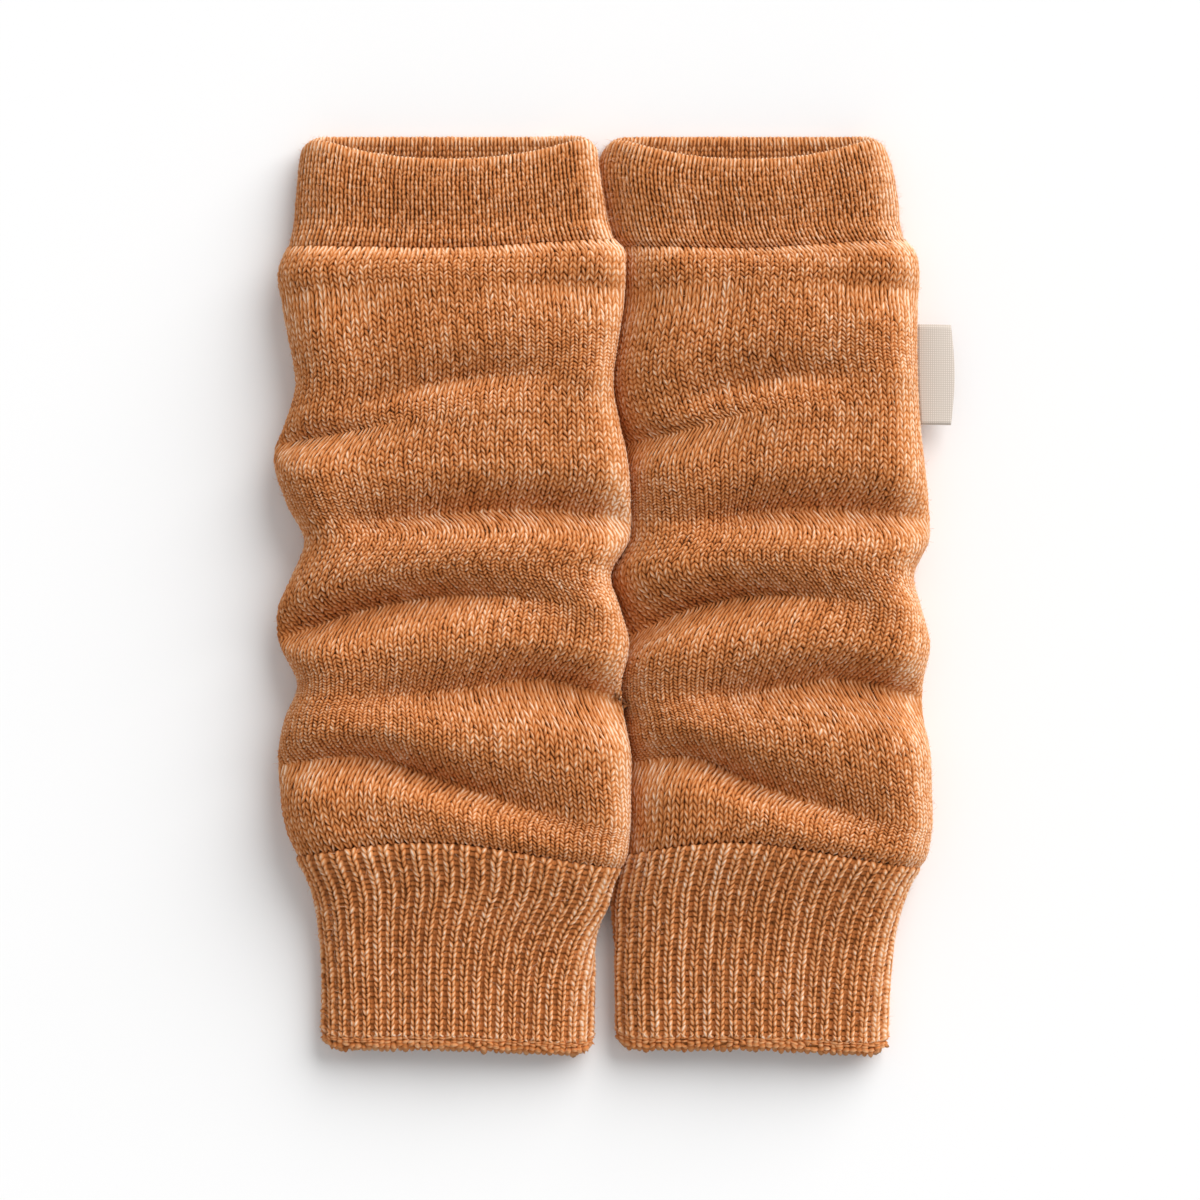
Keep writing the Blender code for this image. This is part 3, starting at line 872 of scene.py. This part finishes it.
@dataclass
class Yarns:
    """Short lengths of yarn that lie on a wall, each a low rounded strip that dives in at its ends."""

    q: Array  # the middle of each, as a place on the wall
    s: Array
    across: Array  # from its middle to its foot, in mm across and down
    down: Array
    girth: Array  # half its width, in mm
    rise: Array  # how far it stands out, in mm
    tone: Array  # how light it is, from 0 to 1
    dive: float = 0.55  # how far its ends go in, as a share of its rise
    taper: float = 0.86  # how much narrower it is at its ends, as a share of its section
    contrast: float = 0.68  # painted highlight and painted shade: how much lighter a yarn is along its crest than at its sides
    middle: float = 0.45  # the height, as a share of its rise, where it has its own tone
    stations: int = 5
    ridge: int = 3
    fullness: float = 1.02  # the square of its breadth in the middle, as a share of its girth

    def lay(self, wall: Wall) -> Mesh:
        """Lay them all on the wall.

        Args:
            wall: the wall that they are knitted into.

        Returns:
            One mesh, lighter along each yarn's crest as a painted highlight and darker at its sides as
            painted shade, with the yarn's own length and width as its uv.
        """
        along = np.repeat(np.linspace(-1.0, 1.0, self.stations), self.ridge)
        off = np.tile(np.linspace(-1.0, 1.0, self.ridge), self.stations)
        body = np.sqrt(self.fullness - self.taper * along ** 2)
        height = body * (1 - off ** 2) - self.dive * along ** 2
        across, down = self.across[:, None], self.down[:, None]
        length = np.hypot(across, down)
        wide = off * body * self.girth[:, None]
        q = self.q[:, None] + (along * across - wide * down / length) / wall.front
        s = self.s[:, None] + along * down + wide * across / length
        points = wall.place(q.ravel(), s.ravel(), (self.rise[:, None] * height).ravel())
        points = points.reshape(-1, along.size, 3)
        clear = points[:, :, 2].min(axis=1) > FLOOR_CLEARANCE
        # painted highlight along each yarn's crest, painted shade at its sides
        tone = np.clip(self.tone[:, None] + self.contrast * (np.clip(height, 0, 1) - self.middle), 0, 1)
        uv = np.stack([wide, s], axis=-1)
        quads = copies(grid_quads(self.stations, self.ridge, ring=False), clear.sum(), along.size)
        return Mesh(points[clear].reshape(-1, 3), quads, tone[clear].ravel(), uv[clear].reshape(-1, 2))


@dataclass(frozen=True)
class PerYarn:
    """A number for each thing that is set for a yarn: its spread by chance, or what a place adds to it."""

    q: float = 0.0
    s: float = 0.0
    across: float = 0.0
    down: float = 0.0
    girth: float = 0.0
    rise: float = 0.0
    tone: float = 0.0


IN_SEAM_HIGHLIT = PerYarn(down=0.4, tone=0.10)  # pulled long below a seam and over the band's rim; the lighter tone there is a painted highlight
DRAWN_AND_HIGHLIT = PerYarn(across=-0.5, down=0.25, rise=-0.25, tone=0.08)  # drawn out just below a fold; the lighter tone there is a painted highlight on the slope that faces the light
FELTED = PerYarn(girth=0.3, rise=-0.5)  # felted at the flanks and in the seam
PAINTED_FLANK_HIGHLIGHT = PerYarn(tone=0.16)  # painted highlight on the right flank, which faces the key light
PAINTED_CREASE_SHADE = PerYarn(tone=-0.15)  # painted shade in the crease of a very deep fold


def every(*axes: Array) -> list[Array]:
    """Every combination of the axes' values, as one flat row for each axis."""
    return [axis.ravel() for axis in np.meshgrid(*axes, indexing="ij")]


@dataclass
class StitchColumns:
    """The stitches of a wall: each is two limbs of yarn that lean together, in a column of their like."""

    wall: Wall
    seed: int
    first: float = 0.0
    last: Optional[float] = None
    edge_reach: float = 2.6  # mm below a plain wall's first line over which the stitches are in the seam, pulled long and lighter as a painted highlight
    edge_felt: float = 0.6  # how felted they are there
    right_felt: float = 0.6  # how felted the right flank is, against the left one
    tone: float = 0.5
    column_tone: float = 0.035  # how far whole columns differ in tone
    spread: PerYarn = PerYarn(0.05, 0.05, 0.10, 0.08, 0.12, 0.18, 0.08)

    def build(self) -> Mesh:
        """Lay every stitch from the first course to the last.

        Returns:
            The stitches in one mesh.
        """
        wall, gauge, spread = self.wall, self.wall.gauge, self.spread
        random = np.random.default_rng(self.seed)
        courses = np.arange(self.first, wall.courses if self.last is None else self.last)
        course, column, limb = every(courses, np.arange(wall.columns), (-1.0, 1.0))

        def uneven(size: float) -> Array:
            """One small random number for each limb."""
            return random.normal(0.0, size, course.size)

        half = gauge.width / 2
        s = (course + 0.5) * wall.length / wall.courses + uneven(spread.s) * gauge.course
        q = (column + 0.5) / wall.columns + limb * half * (gauge.apart + uneven(spread.q)) / wall.front
        seam = np.exp(-(np.clip(s, 0, None) / self.edge_reach) ** 2) * (wall.structure is Structure.PLAIN)
        drawn, crease_shade, beside = wall.folded(q, s)
        if wall.face is not Face.FRONT:
            drawn, beside = 0.0 * q, 0.0 * q
        # painted highlight: the face's first half holds the right flank, which faces the key light
        lit = beside * (q < 0.5)
        felted = np.maximum(beside * np.where(q < 0.5, 1.0, self.right_felt), self.edge_felt * seam)
        loose = random.normal(0.0, self.column_tone, wall.columns)[column.astype(int)]
        return Yarns(
            q=q, s=s,
            across=-limb * half * (gauge.lean * (1 + DRAWN_AND_HIGHLIT.across * drawn) + uneven(spread.across)),
            down=gauge.course * (gauge.reach + uneven(spread.down) + IN_SEAM_HIGHLIT.down * seam
                                 + DRAWN_AND_HIGHLIT.down * drawn),
            girth=gauge.limb * gauge.width / 2 * (1 + uneven(spread.girth)) * (1 + FELTED.girth * felted),
            rise=(gauge.rise * (1 + uneven(spread.rise)) * (1 + FELTED.rise * felted)
                  * (1 + DRAWN_AND_HIGHLIT.rise * drawn)),
            # the yarn's own uneven tone, plus painted highlights in the seam, below folds and on the right
            # flank, and painted shade in deep creases
            tone=(self.tone + uneven(spread.tone) + loose + IN_SEAM_HIGHLIT.tone * seam + PAINTED_FLANK_HIGHLIGHT.tone * lit
                  + DRAWN_AND_HIGHLIT.tone * drawn + PAINTED_CREASE_SHADE.tone * crease_shade),
        ).lay(wall)


@dataclass
class PurlBumps:
    """The furrows of a rib: the backs of the stitches between its columns, as low level bumps."""

    wall: Wall
    seed: int
    across: float = 0.8
    girth: float = 0.85
    rise: float = 0.12
    # tone: darker than the stitches, as painted shade in the rib's furrows; contrast: painted highlight along
    # each bump's crest and painted shade at its sides
    tone: float = 0.30
    contrast: float = 0.12
    spread: PerYarn = PerYarn(0.05, 0.08, 0.08, 0.2, 0.12, 0.25, 0.05)

    def build(self) -> Mesh:
        """Lay one bump to a course in every furrow.

        Returns:
            The bumps in one mesh.
        """
        wall, spread = self.wall, self.spread
        random = np.random.default_rng(self.seed)
        course, furrow = every(np.arange(wall.courses - 1), np.arange(1, wall.columns))
        size = course.size
        return Yarns(
            q=furrow / wall.columns + random.normal(0, spread.q, size) / wall.front,
            s=(course + random.normal(0.5, spread.s, size)) * wall.length / wall.courses,
            across=self.across * random.normal(1, spread.across, size),
            down=random.normal(0, spread.down, size),
            girth=self.girth * random.normal(1, spread.girth, size),
            rise=self.rise * random.normal(1, spread.rise, size),
            tone=self.tone + random.normal(0, spread.tone, size),
            contrast=self.contrast,
        ).lay(wall)


@dataclass
class CastOn:
    """The edge that a rib is cast on at: a row of open feet, then close, felted loops round the hem."""

    wall: Wall
    seed: int
    across: float = 1.6
    girth: float = 0.66
    rise: float = 0.55
    growth: float = 0.3  # how much further each row stands out than the one above it, in mm
    tone: float = 0.46
    foot: PerYarn = PerYarn(across=0.6, down=1.0, girth=0.8, rise=0.8, tone=0.66)
    rows: int = 6
    spacing: float = 1.05
    start: float = 4.3  # how far above the hem the feet lie, in mm
    dive: float = 0.3
    # contrast: painted highlight along each loop's crest and painted shade at its sides
    contrast: float = 0.36
    spread: PerYarn = PerYarn(0.06, 0.2, 0.14, 0.3, 0.18, 0.16, 0.06)

    def build(self) -> Mesh:
        """Lay two loops to a rib, in rows round the hem.

        Returns:
            The loops in one mesh.
        """
        wall, spread, foot = self.wall, self.spread, self.foot
        random = np.random.default_rng(self.seed)
        row, loop = every(np.arange(self.rows), np.arange(2 * wall.columns))
        size, first = row.size, row == 0
        return Yarns(
            q=(loop + 0.5 + random.normal(0, spread.q, size)) / (2 * wall.columns),
            s=wall.length - self.start + self.spacing * row + random.normal(0, spread.s, size),
            across=self.across * random.normal(1, spread.across, size) * np.where(first, foot.across, 1.0),
            down=np.where(loop % 2, foot.down, -foot.down) * first + random.normal(0.0, spread.down, size),
            girth=self.girth * random.normal(1, spread.girth, size) * np.where(first, foot.girth, 1.0),
            rise=(np.where(first, foot.rise, self.rise + self.growth * row)
                  * random.normal(1, spread.rise, size)),
            tone=np.where(first, foot.tone, self.tone) + random.normal(0, spread.tone, size),
            dive=self.dive,
            contrast=self.contrast,
        ).lay(wall)


@dataclass
class Cloth:
    """A wall's own body, just under its yarns: a closed shell of the wall's real thickness."""

    wall: Wall
    inset: float
    around: int = 96
    under: int = 20
    down: int = 90
    run_on: float = 0.8  # how many columns are counted on under it, as a share of the front's

    def build(self) -> Mesh:
        """Close the shell round the leg.

        Returns:
            The shell, with the knit's columns and courses as its uv.
        """
        wall, thickness = self.wall, self.wall.thickness
        half = thickness / 2
        q = np.linspace(0, 1, self.around, endpoint=False)
        beneath = np.linspace(0, 1, self.under, endpoint=False)
        columns = np.concatenate([np.linspace(-self.run_on, 0, self.under, endpoint=False), q]) * wall.columns
        ribbed = np.concatenate([np.zeros(self.under), q])
        top, foot = half * wall.rounded_top, half * wall.rounded_foot
        stops = np.linspace(top, wall.length - foot, self.down)
        bends = np.linspace(0, math.pi, BEND_STEPS)[1:-1]
        round_rim = [(half * (1 - math.sin(a)), half * (1 - math.cos(a))) for a in bends]
        rings = [(s, 0.0) for s in stops]
        rings += [(wall.length - s, depth) for s, depth in round_rim] if wall.rounded_foot else []
        rings += [(s, thickness) for s in stops[::-1]]
        rings += round_rim[::-1] if wall.rounded_top else []
        points, uv = [], []
        for s, depth in rings:
            rows = np.full(columns.shape, float(wall.row_at(np.array(s))))
            turns = np.concatenate([beneath, wall.turn_at(q, rows[self.under:])])
            base, facing = wall.frame_at(turns, rows)
            outer = 1 - depth / thickness
            ridge = wall.relief(ribbed, np.array(s), base[:, 2]) * outer ** 2
            sunk = (self.inset + wall.sunk(np.array(s))) * outer * np.clip(base[:, 2] / NEAR_FLOOR, 0, 1)
            ring = base + facing * (ridge - depth - sunk)[:, None]
            ring[:, 2] = np.maximum(ring[:, 2], 0.0)
            points.append(ring)
            uv.append(np.stack([columns, np.full(columns.shape, s / wall.gauge.course)], axis=-1))
        quads = grid_quads(len(rings), len(columns), ring=True, closed=True)
        return Mesh(np.concatenate(points), quads[:, ::-1], None, np.concatenate(uv))


@dataclass
class Bloom:
    """The loose fibres that stand off the yarns: fine, bent, and half of them along the two edges."""

    wall: Wall
    seed: int
    count: int
    shortest: float = 0.3
    longest: float = 4.6
    breadth: float = 0.085
    curl: float = 0.4
    lengths: tuple[float, float] = (2.2, 0.6)  # the shape and scale of the gamma law that they follow
    stands: tuple[float, float] = (0.1, 0.8)  # how far they stand off the yarns, as shares of their length
    near_edge: tuple[float, float] = (0.02, 0.19)  # where, as places across the face, half of them grow
    anywhere: tuple[float, float] = (0.01, 0.99)  # where the others grow
    arch: tuple[float, float] = (1.3, 0.7)  # how steeply they rise, and how much less so at their tips
    tones: tuple[float, float] = (0.5, 0.88)
    shape: tuple = ((0.0, 1.0), (0.55, 0.8), (1.0, 0.2))  # along each: how far, and its breadth there

    def build(self) -> Mesh:
        """Scatter the fibres over the wall.

        Returns:
            The fibres as thin tapering ribbons in one mesh.
        """
        random = np.random.default_rng(self.seed)
        everywhere = random.uniform(*self.anywhere, self.count)
        by_edge = random.uniform(*self.near_edge, self.count)
        by_edge = np.where(random.random(self.count) < 0.5, by_edge, 1 - by_edge)
        q = np.where(random.random(self.count) < 0.5, by_edge, everywhere)
        s = random.uniform(0.0, self.wall.length, self.count)
        root = self.wall.place(q, s, np.full(self.count, 0.1))
        outward = self.wall.place(q, s, np.full(self.count, 1.1)) - root
        heading = random.normal(0, 1, (self.count, 3))
        heading = heading - outward * np.sum(heading * outward, axis=1, keepdims=True)
        heading = heading / np.linalg.norm(heading, axis=1, keepdims=True)
        length = np.clip(random.gamma(*self.lengths, self.count), self.shortest, self.longest)[:, None]
        stand = random.uniform(*self.stands, self.count)[:, None]
        beside = np.cross(outward, heading)
        curl = beside * random.normal(0, self.curl, self.count)[:, None]
        rings = []
        for share, width in self.shape:
            rise = outward * stand * share * (self.arch[0] - self.arch[1] * share)
            middle = root + length * (heading * share + rise + curl * share * share)
            rings += [middle - beside * width * self.breadth / 2, middle + beside * width * self.breadth / 2]
        points = np.stack(rings, axis=1)
        points[:, :, 2] = np.maximum(points[:, :, 2], FLOOR_CLEARANCE)
        corners = points.shape[1]
        quads = copies(np.array([(0, 1, 3, 2), (2, 3, 5, 4)]), self.count, corners)
        tone = np.repeat(random.uniform(*self.tones, self.count), corners)
        return Mesh(points.reshape(-1, 3), quads, tone, np.zeros((self.count * corners, 2)))


# ---------------------------------------- sub-assemblies
@dataclass
class KnitPiece:
    """A piece of knitwear: its cloth, its yarns and its bloom, and the CAD node that they stand for."""

    side: Side
    yarn: Material
    ground: Material
    word: str = ""
    material_slot: str = ""
    made: list = field(default_factory=list)

    @property
    def node(self) -> str:
        """The CAD node that this piece stands for."""
        return f"{self.side.word}_{self.word}"

    @property
    def seed(self) -> int:
        """A number of its own, from which its unevenness is drawn."""
        return sum(map(ord, self.node))

    def add(self, name: str, mesh: Mesh, material: Material) -> Object:
        """Make one of the piece's meshes and let it ride on the body.

        Args:
            name: what to call it after the node's name.
            mesh: what to make.
            material: its finish.

        Returns:
            The object.
        """
        made = mesh.make(f"{self.node}_{name}", material)
        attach(made, "root")
        self.made.append(made)
        log.info("%s: %d faces", made.name, len(mesh.quads))
        return made

    def knit(self, floor: str, shell: Cloth, **yarns: Union[StitchColumns, PurlBumps, CastOn, Bloom]) -> None:
        """Make the piece, and hide the CAD node that it stands for.

        Args:
            floor: the name of the surface that it lies on; not used.
            shell: its cloth.
            yarns: what lies on it, by name.
        """
        wall = shell.wall
        cloth = self.add("cloth", shell.build(), self.ground)
        for name, part in yarns.items():
            self.add(name, part.build(), self.yarn)
        turns = np.linspace(0, 4, SAMPLES_ROUND)
        ring = wall.form.point(turns, np.full(SAMPLES_ROUND, (len(wall.form.lines) - 1) / 2))[:, [0, 2]]
        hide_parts(self.node)


@dataclass
class LegTube(KnitPiece):
    """The leg itself, in plain stitch, lying in its folds."""

    word: str = "leg"
    material_slot: str = "leg_knit"
    gauge: Gauge = Gauge(column=3.15, course=1.98, limb=0.44, lean=0.44, rise=0.78)

    def build(self, floor: str) -> None:
        """Knit the leg in two stretches, so that neither mesh is too large.

        Args:
            floor: the name of the surface that it lies on.
        """
        lines = (BAND_EDGE.moved(SEAM_GAP / 2), *FOLDS, SEAM.moved(-SEAM_GAP / 2))
        wall = Wall(Form(self.side, lines), 2.2, self.gauge, sunk_top=0.4, sunk_foot=0.2, stretch=0.8)
        half = wall.courses // 2
        self.knit(floor, Cloth(wall, inset=0.6),
                  upper_stitches=StitchColumns(wall, self.seed, 0, half),
                  lower_stitches=StitchColumns(wall, self.seed + 1, half),
                  bloom=Bloom(wall, self.seed + 2, 16000))


@dataclass
class TopBand(KnitPiece):
    """The doubled band, whose knit rounds over its soft rim and down the inside."""

    word: str = "top_band"
    material_slot: str = "band_knit"
    gauge: Gauge = Gauge(column=3.0, course=1.8, limb=0.41, lean=0.17, rise=0.66, reach=0.86)
    thickness: float = 3.4

    def build(self, floor: str) -> None:
        """Knit the band over its rim, and the inside of its back, which shows in the mouth.

        Args:
            floor: the name of the surface that it lies on.
        """
        form = Form(self.side, (RIM, BAND_EDGE.moved(-SEAM_GAP / 2)))
        wall = Wall(form, self.thickness, self.gauge, rounded_top=True, sunk_foot=0.7)
        inside = Wall(form, self.thickness, self.gauge, face=Face.BACK_INSIDE, rounded_top=True)
        self.knit(floor, Cloth(wall, inset=0.5, down=26),
                  stitches=StitchColumns(wall, self.seed, -1),
                  mouth_stitches=StitchColumns(inside, self.seed + 1, -1, 7),
                  bloom=Bloom(wall, self.seed + 2, 5000))


@dataclass
class RibCuff(KnitPiece):
    """The cuff in bold rib: columns of stitches that stand up, with furrows between them."""

    word: str = "rib_cuff"
    material_slot: str = "cuff_rib"
    gauge: Gauge = Gauge(column=4.86, course=2.0, limb=0.36, lean=0.30, rise=0.8, reach=0.72,
                         stitch_width=4.2, apart=0.44)

    def build(self, floor: str) -> None:
        """Knit the ribs down to the cast-on edge.

        Args:
            floor: the name of the surface that it lies on.
        """
        form = Form(self.side, (SEAM.moved(SEAM_GAP / 2), HEM))
        wall = Wall(form, 2.0, self.gauge, Structure.RIB, rounded_foot=True, rib_relief=1.0, sunk_top=0.2,
                    foot_margin=3.8)
        self.knit(floor, Cloth(wall, inset=0.5, around=6 * wall.columns, down=36),
                  stitches=StitchColumns(wall, self.seed, 0, wall.courses - 2.2),
                  furrows=PurlBumps(wall, self.seed + 1),
                  cast_on_edge=CastOn(wall, self.seed + 2),
                  bloom=Bloom(wall, self.seed + 3, 4500))


@dataclass
class SideLabel:
    """A bare folded tape in the right one's side seam."""

    tape: Material
    top: float = 67.9
    bottom: float = 104.1
    tip: float = 70.6  # how far its fold lies from the leg's axis
    bow: float = 1.3  # how far the middle of the fold stands out past its ends
    thick: float = 0.9
    tip_height: float = 8.5
    in_seam: float = 0.4  # how far outside the leg's own edge it starts to show
    straight: float = 0.96  # how much of its depth is flat before the fold's bend
    rows: int = 25
    columns: int = 14

    def build(self, leg: str) -> None:
        """Make the tape as one folded loop, and let it stand for its node.

        Args:
            leg: the name of the node whose seam it is caught in; not used.
        """
        side = Side.RIGHT
        down = np.linspace(self.top, self.bottom, self.rows)
        share = (down - self.top) / (self.bottom - self.top)
        root = section_value(side.right_edge, down) + self.in_seam
        tip = self.tip + self.bow * np.sin(math.pi * share)
        root_height = side.right_flank.widest * section_value("crown", down)
        half = self.thick / 2
        out = np.linspace(0, self.straight, self.columns)
        bend = np.linspace(math.pi / 2, -math.pi / 2, BEND_STEPS)[1:-1]
        outs = np.concatenate([out, self.straight + (1 - self.straight) * np.cos(bend), out[::-1]])
        lifts = np.concatenate([np.full(out.size, half), half * np.sin(bend), np.full(out.size, -half)])
        x = root[:, None] + (tip - root)[:, None] * outs[None]
        droop = (self.tip_height - root_height)[:, None] * outs[None] ** 2
        z = root_height[:, None] + droop + lifts[None]
        y = np.broadcast_to((PAIR_LENGTH / 2 - down)[:, None], x.shape)
        points = np.stack([side.axis + x, y, z], axis=-1).reshape(-1, 3)
        uv = np.stack([x, y], axis=-1).reshape(-1, 2)
        quads = grid_quads(self.rows, outs.size, ring=True)
        ring = np.arange(outs.size)
        low, high = ring[: outs.size // 2], ring[::-1][: outs.size // 2]
        cap = np.stack([low[:-1], high[:-1], high[1:], low[1:]], axis=1)
        caps = [cap[:, ::-1], cap + (self.rows - 1) * outs.size]
        mesh = Mesh(points, np.concatenate([quads[:, ::-1], *caps]), None, uv)
        label = mesh.make("side_label_tape", self.tape)
        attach(label, "root")
        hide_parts("side_label")
        log.info("%s: %d faces", label.name, len(mesh.quads))


# ---------------------------------------- the studio
@dataclass
class Studio:
    """A plain pale floor, one large soft light from the upper right, even fill, and the camera."""

    frame_width: float = 0.432  # metres across the photograph, at the height of the flanks
    flank_height: float = 0.013
    distance: float = 1.6
    sensor: float = 36.0
    centre: tuple[float, float] = (-0.00562, -0.00229)
    key_from: tuple[float, float, float] = (0.62, 0.72, 0.56)
    key_strength: float = 3.5
    key_spread: float = 1.0  # radians across; so wide that the shadows' edges are soft
    fill: float = 0.51
    floor_half: float = 6.0  # metres; so large that no view shows its edge
    floor_drop: float = 0.0002  # metres that it lies under the pair, so that no faces coincide

    def build(self) -> Object:
        """Set the floor, the light and the camera.

        Returns:
            The floor.
        """
        scene = bpy.context.scene
        scene.view_settings.view_transform = "Standard"
        lens = bpy.data.cameras.new("camera")
        lens.sensor_width = self.sensor
        lens.lens = self.sensor * (self.distance - self.flank_height) / self.frame_width
        scene.camera = put("camera", lens)
        scene.camera.location = (*self.centre, self.distance)
        key = bpy.data.lights.new("key", "SUN")
        key.energy, key.angle = self.key_strength, self.key_spread
        put("key", key).rotation_euler = Vector(self.key_from).to_track_quat("Z", "Y").to_euler()
        world = bpy.data.worlds.new("even_fill")
        world.use_nodes = True
        background = world.node_tree.nodes["Background"]
        background.inputs["Color"].default_value = (1.0, 1.0, 1.0, 1.0)
        background.inputs["Strength"].default_value = self.fill
        scene.world = world
        half = self.floor_half
        corners = [(-half, -half, 0), (half, -half, 0), (half, half, 0), (-half, half, 0)]
        mesh = bpy.data.meshes.new("floor")
        mesh.from_pydata(corners, [], [(0, 1, 2, 3)])
        mesh.materials.append(WhitePaper("white_paper_floor").build())
        floor = put("floor", mesh)
        floor.location.z = -self.floor_drop
        return floor


def main() -> None:
    """Build the studio and the pair, piece by piece."""
    logging.basicConfig(level=logging.INFO, format="%(message)s")
    floor = Studio().build()
    yarn = SpunWool("spun_wool_caramel").build()
    rib_yarn = SpunWool("spun_wool_caramel_rib", body="#D18043", lit="#E2AA79", crest="#FCE7D4").build()
    ground = KnitGround("knit_ground_caramel").build()
    rib_ground = KnitGround("knit_ground_caramel_rib", painted_hollow_shade="#7E4319", face="#C27A40").build()
    tape = WovenTape("woven_cotton_tape_cream").build()
    for side in Side:
        for kind, thread, behind in ((TopBand, yarn, ground), (LegTube, yarn, ground),
                                     (RibCuff, rib_yarn, rib_ground)):
            kind(side, thread, behind).build(floor.name)
    SideLabel(tape).build("right_leg")


if __name__ == "__main__":
    main()
